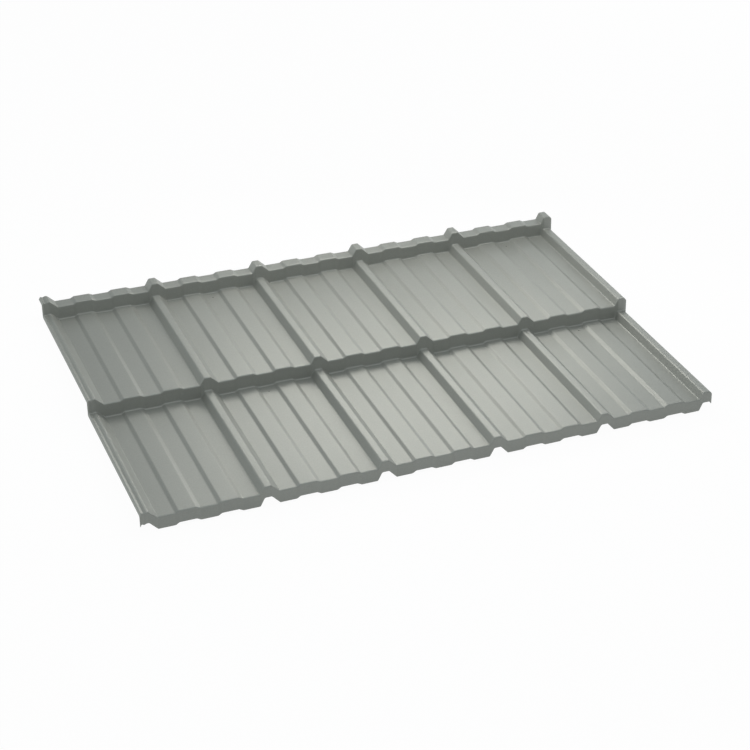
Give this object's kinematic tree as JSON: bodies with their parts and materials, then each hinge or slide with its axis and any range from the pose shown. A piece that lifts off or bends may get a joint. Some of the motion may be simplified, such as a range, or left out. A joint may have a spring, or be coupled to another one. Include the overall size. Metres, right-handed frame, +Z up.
{
  "type": "stepped corrugated metal roofing sheet",
  "caption": "Thin pressed metal roofing sheet with trapezoidal ribs, shallow stiffening beads, stepped rows and lapping side edges, screwed to battens as a roof covering.",
  "frame": {"origin": "middle of the sheet on the level floor that it lies on", "axes": "+X across the ribs towards the covering side lap, +Y towards the upper end on the roof, +Z up, out of the weather side"},
  "size_m": [1.171, 0.73, 0.0441],
  "materials": {
    "coated_steel": "satin grey-green factory coating on thin steel, slightly grained, clean"
  },
  "bodies": {
    "root": {"roof_sheet": "coated_steel"}
  },
  "joints": []
}
